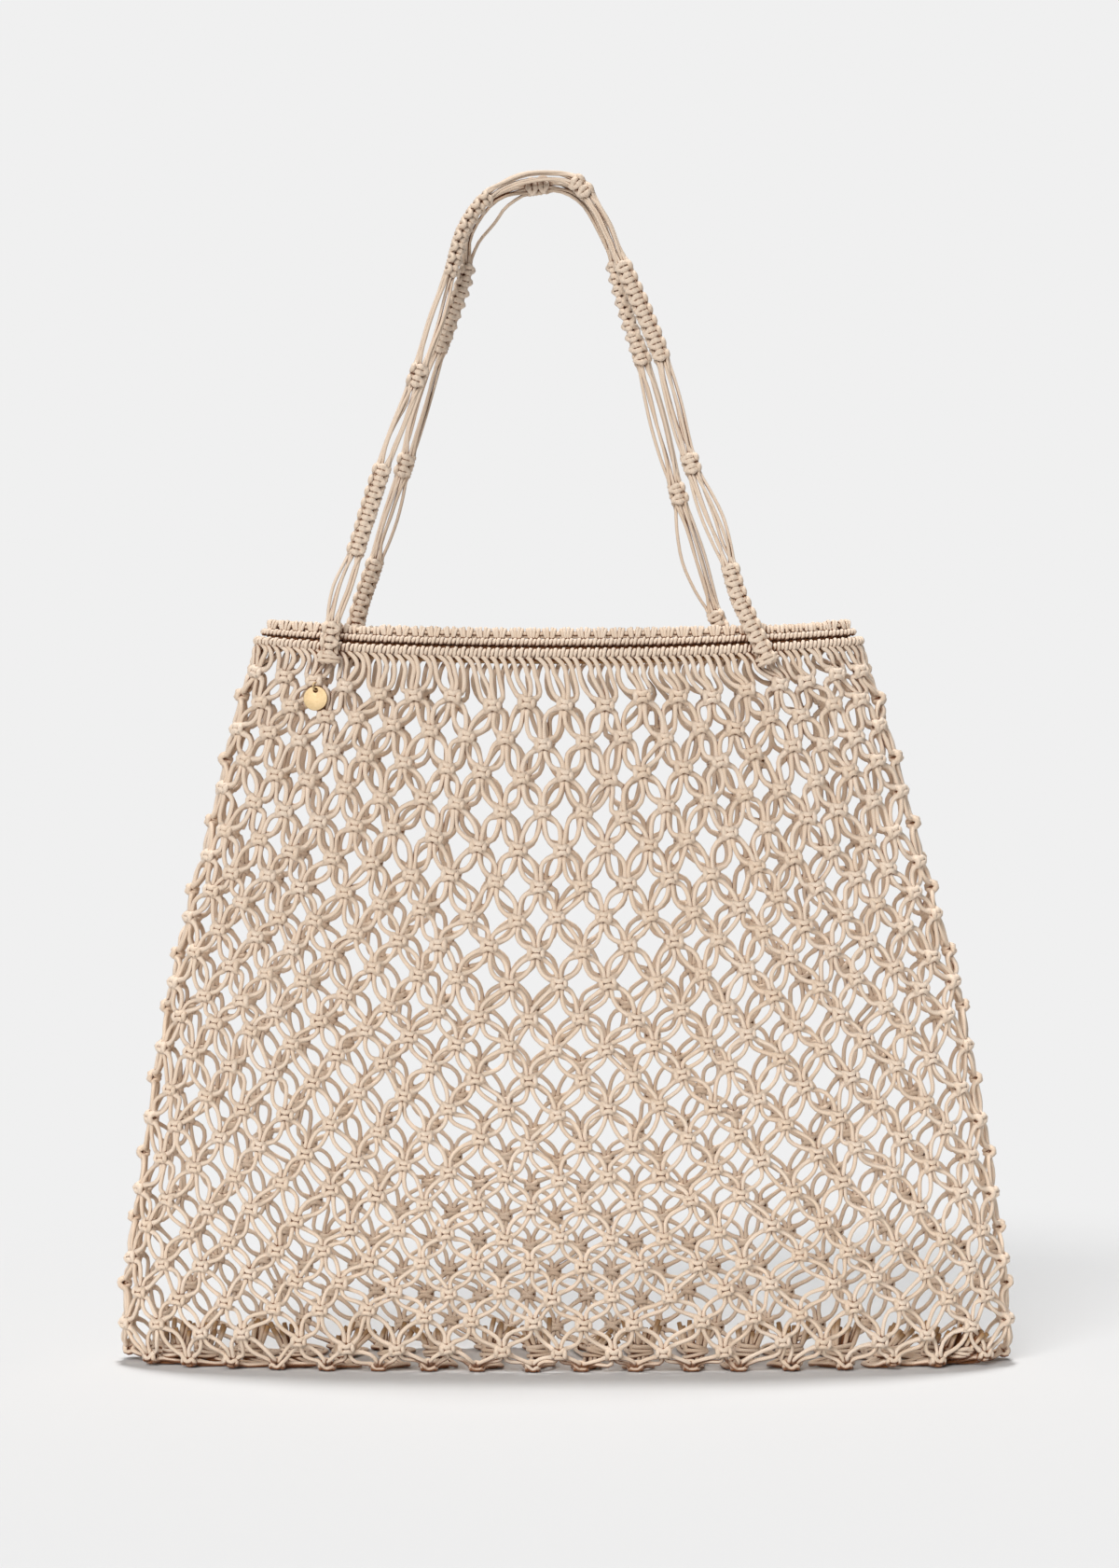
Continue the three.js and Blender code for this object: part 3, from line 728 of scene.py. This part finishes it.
def add_roll(name, node, course, height, wrap):
    """One cord wrapped all round the bag about its carrying cord."""
    share = np.arange(WRAPS * WRAP_STEPS + 1) / (WRAPS * WRAP_STEPS)
    point, _, out, tall = rim_line(share, course, height)
    uneven = np.interp(share * WRAPS, np.arange(WRAPS + 1), rng.normal(0, 0.3, WRAPS + 1))
    turn = 2 * math.pi * share * WRAPS + uneven
    bumps = rng.uniform(0.93, 1.05, WRAPS + 1) + WRAP_BUMP * (np.arange(WRAPS + 1) % 2 - 0.5)
    reach = wrap * np.interp(share * WRAPS, np.arange(WRAPS + 1), bumps)
    aside = out * (np.cos(turn) * wrap)[:, None]
    coil = point + aside + UP * (np.sin(turn) * reach * tall)[:, None]
    tubes = Tubes(name)
    tubes.add(coil, radii=WRAP_CORD, tone=0.3)
    tubes.add(point[:-1:CORE_EVERY], radii=wrap * ROLL_CORE, closed_path=True, tone=1.0)
    tubes.build(cord, [node])


def add_header():
    """Loops of four strands each over a carrying cord, and the other carrying cords."""
    share = warp((np.arange(LOOPS) + 0.5) / LOOPS * 2) + rng.normal(0, 0.0003, LOOPS)
    foot, along, out, tall = rim_line(share, 2, HEADER_HEIGHT - LOOP_FOOT)
    plain = np.zeros(LOOPS, bool)
    for low, high in PLAIN_HEADER:
        plain |= (foot[:, 0] > low) & (foot[:, 0] < high) & (foot[:, 1] < 0)
    tubes = Tubes("header_loops")
    turn = np.linspace(0, math.pi, 8)
    for spread, rise in zip(LOOP_SPREAD, LOOP_RISE):
        wander = rng.normal(0, 0.18, LOOPS)
        low = np.where(plain, spread * PLAIN_SPREAD, spread * LOOP_TAPER) + wander
        high = np.where(plain, spread * PLAIN_SPREAD, spread) + wander
        top = np.where(plain, PLAIN_TOP, LOOP_TOP + rise) + rng.normal(0, 0.12, LOOPS)
        lift = np.concatenate([[-LOOP_SINK], np.sin(turn), [-LOOP_SINK]])
        depth = np.concatenate([[1.0], np.cos(turn), [-1.0]]) * LOOP_DEPTH
        across = lerp(low[:, None], high[:, None], np.clip(lift, 0, 1))
        height = lift * (top * tall)[:, None]
        arcs = (foot[:, None] + along[:, None] * across[..., None] + out[:, None] * depth[:, None]
                + UP * height[..., None])
        tubes.add(arcs, radii=LOOP_CORD)
    # The brown share of the two lower carrying cords is painted shade in the gaps they fill
    for course, height, radius, tip in CARRIERS:
        core = rim_line(np.arange(CARRIER_POINTS) / CARRIER_POINTS, course, height)[0]
        tubes.add(core, radii=radius, closed_path=True, tone=1.0, tip=tip)
    tubes.build(cord, ["rim_header"])


# Handles: four straight cords and two that are knotted round them
FOOT_LENGTH = 28.0
ROUTE_STEP = 0.5
KNOT_PITCH = 6.6
STRAIGHT = ((-2.4, 0.2), (-0.8, -0.5), (0.8, 0.4), (2.4, -0.2))
EDGE = 2.9                      # knotting cords from the middle over a loose stretch
BOW = (0.0, 2.2)                # how far they bow out there
STRAIGHT_EVERY = 9              # length of a knotted stretch for each point of a straight cord
STRETCH_END = 0.8               # how far inside its ends the first and the last point lie
STRAIGHT_UNEVEN = 0.12
LOOSE_ASIDE = ((-3.0, 0.6), (-0.8, 3.0))    # least and most of the two pairs over a loose stretch
LOOSE_UNEVEN = 0.5
LOOSE_SLANT = 0.7
LOOSE_LAYER = 0.8               # every second cord is in front, the others behind
LOOSE_PLACES = ((0.2, 0.8), (0.5, 1.0), (0.8, 0.8))     # place along it, and share aside
BOW_PLACES = ((0.22, 0.6), (0.5, 1.0), (0.78, 0.6))
LOOSE_CORD = 0.92
KNOTTED_CORD = 1.12
KNOTTING_CORD = 1.4
CROSSING_SWELL = 0.52           # how much thicker a knotting cord is over the middle of a knot
CROSSING_WIDTH = 1.3
CROSSING_FRONT = 1.8            # only where it lies further to the front than this
CORD_CHANGE = 2                 # how far from the end of a stretch its thickness changes
CORD_POINTS = 3                 # points of a cord for each span between control points
HANDLE_SIDES = 7
ROUTE_POINTS = 40
END_WRAPS = (1.5, 4.0)          # wraps from the first and from the last end of a handle
WRAP_HALF = (5.4, 3.3)          # half width and half depth of an end wrap
WRAP_PITCH = 2.3
WRAP_POINTS = 24
END_CORD = 1.1

FRONT_ROUTE = [                 # across, up and turn in degrees
    (-1, -1, 0), (-0.974, -0.17, 0), (-0.882, 0.122, 0), (-0.748, 0.336, 0), (-0.597, 0.539, 10),
    (-0.448, 0.776, 50), (-0.385, 0.883, 55), (-0.262, 0.961, 45), (-0.1, 1, 20),
    (0.104, 0.992, 0), (0.223, 0.922, 0), (0.329, 0.803, 0), (0.516, 0.575, 0),
    (0.642, 0.339, 0), (0.814, 0.107, 0), (0.857, 0.033, 0), (0.907, -0.19, 0), (1, -1, 0),
]
BACK_ROUTE = [
    (-1, -1, 0), (-1, -0.17, 0), (-0.891, 0.128, 0), (-0.732, 0.348, 0), (-0.547, 0.614, 0),
    (-0.398, 0.798, 40), (-0.367, 0.891, 30), (-0.239, 0.968, 10), (-0.035, 0.998, 0),
    (0.118, 1, 0), (0.271, 0.961, 0), (0.373, 0.88, 50), (0.486, 0.707, 60), (0.578, 0.588, 0),
    (0.768, 0.284, 0), (0.975, 0, 0), (1, -0.17, 0), (1, -1, 0),
]
# Ends of the knotted and loose stretches by turns, as shares of the handle's length
FRONT_RUNS = (0.038, 0.1, 0.185, 0.26, 0.281, 0.365, 0.449, 0.527, 0.548, 0.615, 0.712, 0.799,
              0.817, 0.904, 1)
BACK_RUNS = (0.103, 0.183, 0.205, 0.304, 0.39, 0.488, 0.509, 0.608, 0.708, 0.822, 0.842, 0.947, 1)


class Route:
    """Middle line of a handle, with the directions across and to the front of it."""

    def __init__(self, side, insets, drop, apex, feet, route):
        across, up, turn = np.array(route, float).T
        left = RIM_LEAN - RIM_WIDTH / 2 + insets[0]
        right = RIM_LEAN + RIM_WIDTH / 2 - insets[1]
        away = lerp(np.where(across < 0, feet[0], feet[1]), apex, np.maximum(up, 0))
        z = RIM_TOP + up * np.where(up < 0, FOOT_LENGTH, drop)
        points = np.stack([lerp(left, right, (across + 1) / 2), side * away, z], axis=1)
        fine = spline(points, ROUTE_POINTS)
        walk = length_along(fine)
        self.length = walk[-1]
        even = np.arange(0, self.length, ROUTE_STEP)
        self.point = at_lengths(even, walk, fine)
        ahead = unit(np.gradient(self.point, axis=0))
        sideways = unit(np.cross([0.0, 1.0, 0.0], ahead))
        turns = np.interp(np.arange(len(fine)) / ROUTE_POINTS, np.arange(len(route)), turn)
        twist = np.radians(np.interp(even, walk, turns))[:, None]
        self.across = sideways * np.cos(twist) + np.cross(ahead, sideways) * np.sin(twist)
        self.front = -np.cross(ahead, self.across)

    def at(self, local):
        """World points of (place along, across, to the front)."""
        step = np.arange(len(self.point))
        place = local[..., 0] / ROUTE_STEP
        point, across, front = (at_lengths(place, step, v)
                                for v in (self.point, self.across, self.front))
        return point + across * local[..., 1:2] + front * local[..., 2:3]


# The same knot round the four straight cords of a handle
HANDLE_FRONT_CORD = np.array([
    [-3.1, 3.0, -0.8], [-3.1, 2.1, 0.4], [-2.2, 1.1, 1.6], [-0.8, 1.65, 2.1], [0.8, 1.65, 2.1],
    [2.2, 1.1, 1.9], [3.7, 0.0, 2.0], [2.2, -1.1, 1.9], [0.8, -1.65, 2.1], [-0.8, -1.65, 2.1],
    [-2.2, -1.1, 1.6], [-3.1, -2.1, 0.4], [-3.1, -3.0, -0.8],
])
HANDLE_REAR_CORD = np.array([
    [-2.9, 3.0, -1.0], [-3.5, 2.0, -0.6], [-2.0, 1.0, -1.6], [1.6, 1.0, -1.9], [3.6, 1.8, 0.6],
    [3.9, 0.0, 2.7], [3.6, -1.8, 0.6], [1.6, -1.0, -1.9], [-2.0, -1.0, -1.6], [-3.5, -2.0, -0.6],
    [-2.9, -3.0, -1.0],
])


def knotting_controls(start, end, template, side):
    """Control points of one knotting cord along a knotted stretch."""
    count = max(round((end - start) / KNOT_PITCH), 1)
    pitch = (end - start) / count
    reach = np.array([1, pitch / KNOT_PITCH, 1])
    rows = []
    for i in range(count):
        shape = template * reach * rng.uniform(0.94, 1.05)
        middle = start + (i + 0.5) * pitch
        rows.append(np.stack([middle - shape[:, 1], side * shape[:, 0], shape[:, 2]], axis=1))
    return np.concatenate(rows)


def add_knotted(straight, knotting, start, end):
    """Adds the control points of a knotted stretch to the cords of a handle."""
    for cord_points, (across, front) in zip(straight, STRAIGHT):
        count = max(int((end - start) / STRAIGHT_EVERY), 2)
        for along in np.linspace(start + STRETCH_END, end - STRETCH_END, count):
            aside = rng.normal(0, STRAIGHT_UNEVEN)
            cord_points.append((along, across + aside, front + rng.normal(0, STRAIGHT_UNEVEN)))
    knotting[0].extend(knotting_controls(start, end, HANDLE_FRONT_CORD, 1.0))
    knotting[1].extend(knotting_controls(start, end, HANDLE_REAR_CORD, -1.0))


def add_loose(straight, knotting, start, end, width, bows):
    """Adds the control points of a loose stretch of this relative width."""
    middles = np.repeat(rng.uniform(*LOOSE_ASIDE), 2) * width
    for i, cord_points in enumerate(straight):
        across = middles[i] + rng.normal(0, LOOSE_UNEVEN)
        front = rng.normal(0, LOOSE_UNEVEN) + (LOOSE_LAYER if i % 2 else -LOOSE_LAYER)
        slant = rng.normal(0, LOOSE_SLANT) * width
        for place, part in LOOSE_PLACES:
            aside = across * part + slant * (place - 0.5) * 2
            cord_points.append((lerp(start, end, place), aside, front * part))
    for worker, side in ((0, -1.0), (1, 1.0)):
        bow = bows.get(worker, rng.uniform(*BOW) * width)
        front = rng.normal(0, LOOSE_LAYER)
        for place, part in BOW_PLACES:
            across = side * (EDGE * width + bow * part)
            knotting[worker].append((lerp(start, end, place), across, front * part))


def handle_cords(route, runs, bows, widths):
    """Control points along, across and to the front: four straight cords, two knotting ones."""
    straight = [[] for _ in STRAIGHT]
    knotting = [[], []]
    start = 0.0
    for index, share in enumerate(runs):
        end = share * route.length
        if index % 2 == 0:
            add_knotted(straight, knotting, start, end)
        else:
            width = widths.get(index, 1.0)
            add_loose(straight, knotting, start, end, width, bows.get(index, {}))
        start = end
    return straight + knotting


def end_wraps(route, place):
    """Two turns of cord round the end of a handle."""
    turn = np.linspace(0, 2 * math.pi, WRAP_POINTS + 1)[:-1]
    wide, deep = WRAP_HALF
    rings = []
    for i in range(2):
        along = place + WRAP_PITCH * i + rng.normal(0, 0.5) * np.cos(turn)
        ring = np.stack([along, wide * np.cos(turn), deep * np.sin(turn)], axis=1)
        rings.append(route.at(ring))
    return np.array(rings)


def add_handle(name, route, runs, bows, widths):
    tubes = Tubes(name)
    ends = np.concatenate([[0.0], runs]) * route.length
    marks = np.stack([ends[:-1] + CORD_CHANGE, ends[1:] - CORD_CHANGE], axis=1).reshape(-1)
    for index, controls in enumerate(handle_cords(route, runs, bows, widths)):
        thick = KNOTTED_CORD if index < len(STRAIGHT) else KNOTTING_CORD
        radii = np.tile([thick, thick, LOOSE_CORD, LOOSE_CORD], len(runs))[:len(marks)]
        local = spline(np.array(controls), CORD_POINTS)
        thickness = np.interp(local[:, 0], marks, radii)
        if thick == KNOTTING_CORD:
            near = np.exp(-(local[:, 1] / CROSSING_WIDTH) ** 2)
            over = near * (local[:, 2] > CROSSING_FRONT)
            thickness = thickness * (1 + CROSSING_SWELL * over)
        tubes.add(route.at(local), radii=thickness, sides=HANDLE_SIDES)
    for place in (END_WRAPS[0], route.length - END_WRAPS[1]):
        tubes.add(end_wraps(route, place), radii=END_CORD, closed_path=True)
    nodes = [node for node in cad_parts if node.startswith(name)]
    tubes.build(cord, nodes)


def foot_away(node):
    """How far to the front or back the middle of this end of a handle lies."""
    low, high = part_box(node)
    return (abs(low[1]) + abs(high[1])) / 2 / MM


# Both handles: insets of the feet from the ends of the rim, height, and the tops' distance
# from the middle. Bows are chosen for the cords that stand out of a stretch, and relative
# widths for the stretches that are narrow.
APEX_AWAY = 4.5
FRONT_INSETS = (40.6, 50.5)
FRONT_DROP = 233
FRONT_BOWS = {13: {0: 3.5}, 1: {0: 2.5}}
FRONT_WIDTHS = {7: 0.6, 9: 0.55}
BACK_INSETS = (53.6, 75.3)
BACK_DROP = 229
BACK_BOWS = {5: {1: 7.0}, 7: {1: 1.0}, 11: {1: 5.0}}
BACK_WIDTHS = {5: 0.6, 7: 0.6}


def add_handles():
    feet = (foot_away("handle_front_01_knotted"), foot_away("handle_front_15_knotted"))
    front = Route(-1, FRONT_INSETS, FRONT_DROP, APEX_AWAY, feet, FRONT_ROUTE)
    add_handle("handle_front", front, FRONT_RUNS, FRONT_BOWS, FRONT_WIDTHS)
    feet = (foot_away("handle_back_01_knotted"), foot_away("handle_back_13_knotted"))
    back = Route(1, BACK_INSETS, BACK_DROP, APEX_AWAY, feet, BACK_ROUTE)
    add_handle("handle_back", back, BACK_RUNS, BACK_BOWS, BACK_WIDTHS)


# Charm and its ring, where the solids are
CHARM_RADIUS = 6.5
CHARM_THICKNESS = 1.0
CHARM_HOLE = 1.3
CHARM_EDGE = 0.9
BEVEL = 0.22
CHARM_STEPS = 96
RING_RADIUS = 2.05
RING_WIRE = 0.45
RING_STEPS = 48
WIRE_SIDES = 14


def flat_axis(points):
    """Direction in which these points spread least, turned to the front."""
    _, _, axes = np.linalg.svd(points - points.mean(axis=0), full_matrices=False)
    return -axes[2] if axes[2][1] > 0 else axes[2]


def node_points(node):
    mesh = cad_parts[node].data
    return np.array([vertex.co[:] for vertex in mesh.vertices]) / MM


def charm_section():
    """Closed profile of the disc: share from the hole to the edge, inset there, place through."""
    half = CHARM_THICKNESS / 2
    edge_front = []
    for q in np.linspace(0, math.pi / 2, 4):
        edge_front.append((1, BEVEL - BEVEL * math.sin(q), half - BEVEL + BEVEL * math.cos(q)))
    edge_back = [(1, inset, -z) for _, inset, z in reversed(edge_front)]
    hole_back = [(0, inset, z) for _, inset, z in reversed(edge_back)]
    hole_front = [(0, inset, z) for _, inset, z in reversed(edge_front)]
    front, back = (0.5, 0.0, half), (0.5, 0.0, -half)
    return [front] + edge_front + edge_back + [back] + hole_back + hole_front


def add_charm():
    """Flat disc with a hole near its top, with its flats drawn as rings round the hole."""
    solid = node_points("charm")
    out = flat_axis(solid)
    rise = unit(UP - out * out[2])
    right = np.cross(rise, out)
    centre = sum(axis * (np.min(solid @ axis) + np.max(solid @ axis)) / 2
                 for axis in (out, rise, right))
    hole = centre + rise * (CHARM_RADIUS - CHARM_EDGE - CHARM_HOLE)
    turn = np.arange(CHARM_STEPS) / CHARM_STEPS * 2 * math.pi
    ray = np.cos(turn)[:, None] * right + np.sin(turn)[:, None] * rise
    gap = hole - centre
    lean = ray @ gap
    loops = []
    for share, inset, through in charm_section():
        edge = -lean + np.sqrt(lean ** 2 + (CHARM_RADIUS - inset) ** 2 - gap @ gap)
        far = lerp(CHARM_HOLE + inset, edge, share)
        loops.append(hole + ray * far[:, None] + out * through)
    verts = np.array(loops).reshape(-1, 3)
    quads = tube_faces(1, len(loops), CHARM_STEPS, True)
    mesh = mesh_from("charm_disc", verts, quads.reshape(-1), [4] * len(quads))
    add_piece("charm_disc", mesh, gold, ["charm"])


def add_jump_ring():
    """Round wire ring in the plane of its solid."""
    solid = node_points("jump_ring")
    axis = flat_axis(solid)
    centre = (solid.min(axis=0) + solid.max(axis=0)) / 2
    one = unit(np.cross(axis, UP))
    two = np.cross(axis, one)
    turn = np.arange(RING_STEPS)[:, None] / RING_STEPS * 2 * math.pi
    path = centre + (one * np.cos(turn) + two * np.sin(turn)) * RING_RADIUS
    tubes = Tubes("charm_ring")
    tubes.add(path, radii=RING_WIRE, sides=WIRE_SIDES, closed_path=True)
    tubes.build(gold, ["jump_ring"])


# Studio: a pale floor that curves up into a backdrop, soft light, and the camera
CAMERA_AT = (-3.75, -2300.0, 309.0)
LENS_SHARE = 4600 / 1200        # focal length over the picture's width
SENSOR = 36.0
STAGE_HALF_WIDTH = 2000.0
STAGE_FRONT = -800.0
STAGE_BACK = 6000.0
STAGE_COVE = 1500.0
STAGE_TOP = 3500.0
COVE_STEPS = 12
STUDIO = 0.871                  # brightness of the backdrop, and of the floor round the bag
STUDIO_FROM = (0.55, 0.95)      # distances in metres between which the lit floor turns into it
FLOOR_ALBEDO = 0.67
SKY = 0.16
# Name, strength, spread in degrees, tip forward and turn to the left in degrees
SUNS = (("key", 2.45, 30.0, 62.0, -18.0), ("top", 2.35, 8.0, -10.0, 0.0))


def add_stage():
    profile = [(STAGE_FRONT, 0.0)]
    for t in np.linspace(0, math.pi / 2, COVE_STEPS + 1):
        back = STAGE_BACK - STAGE_COVE + STAGE_COVE * math.sin(t)
        profile.append((back, STAGE_COVE - STAGE_COVE * math.cos(t)))
    profile.append((STAGE_BACK, STAGE_TOP))
    verts = np.array([(x, y, z) for y, z in profile for x in (-STAGE_HALF_WIDTH, STAGE_HALF_WIDTH)])
    faces = [(2 * i, 2 * i + 1, 2 * i + 3, 2 * i + 2) for i in range(len(profile) - 1)]
    mesh = mesh_from("studio", verts, [i for face in faces for i in face], [4] * len(faces))
    n = Nodes("studio_paper")
    n.shader.inputs["Base Color"].default_value = (FLOOR_ALBEDO, FLOOR_ALBEDO, FLOOR_ALBEDO, 1.0)
    n.shader.inputs["Roughness"].default_value = 1.0
    n.shader.inputs["Specular IOR Level"].default_value = 0.0
    place = n.node("ShaderNodeTexCoord").outputs["Object"]
    away = n.node("ShaderNodeVectorMath", {"operation": "LENGTH"})
    n.feed(away.inputs[0], place)
    far = n.node("ShaderNodeMapRange", {"interpolation_type": "SMOOTHSTEP"},
                 Value=away.outputs["Value"], From_Min=STUDIO_FROM[0], From_Max=STUDIO_FROM[1])
    glow = n.node("ShaderNodeEmission", Strength=STUDIO)
    both = n.node("ShaderNodeMixShader")
    n.feed(both.inputs[0], far.outputs["Result"])
    n.feed(both.inputs[1], n.shader.outputs["BSDF"])
    n.feed(both.inputs[2], glow.outputs["Emission"])
    n.feed(n.tree.nodes["Material Output"].inputs["Surface"], both.outputs["Shader"])
    mesh.materials.append(n.material)
    studio = bpy.data.objects.new("studio", mesh)
    bpy.context.scene.collection.objects.link(studio)


def add_lights():
    world = bpy.data.worlds.new("studio_sky")
    world.use_nodes = True
    world.node_tree.nodes["Background"].inputs["Color"].default_value = (1.0, 1.0, 1.0, 1.0)
    world.node_tree.nodes["Background"].inputs["Strength"].default_value = SKY
    bpy.context.scene.world = world
    for name, strength, spread, tip, turn in SUNS:
        data = bpy.data.lights.new(name, "SUN")
        data.energy = strength
        data.angle = math.radians(spread)
        sun = bpy.data.objects.new(name, data)
        sun.rotation_euler = (math.radians(tip), 0.0, math.radians(turn))
        bpy.context.scene.collection.objects.link(sun)


def add_camera():
    data = bpy.data.cameras.new("camera")
    data.sensor_fit = "HORIZONTAL"
    data.sensor_width = SENSOR
    data.lens = SENSOR * LENS_SHARE
    data.clip_end = 50.0
    camera = bpy.data.objects.new("camera", data)
    camera.location = tuple(c * MM for c in CAMERA_AT)
    camera.rotation_euler = (math.pi / 2, 0.0, 0.0)
    bpy.context.scene.collection.objects.link(camera)
    bpy.context.scene.camera = camera


add_net()
add_roll("lower_roll_wraps", "rim_lower_roll", 0, LOWER_ROLL_HEIGHT, LOWER_WRAP)
add_roll("upper_roll_wraps", "rim_upper_roll", 1, UPPER_ROLL_HEIGHT, UPPER_WRAP)
add_header()
add_handles()
add_charm()
add_jump_ring()
add_stage()
add_lights()
add_camera()
bpy.context.scene.view_settings.view_transform = "Standard"
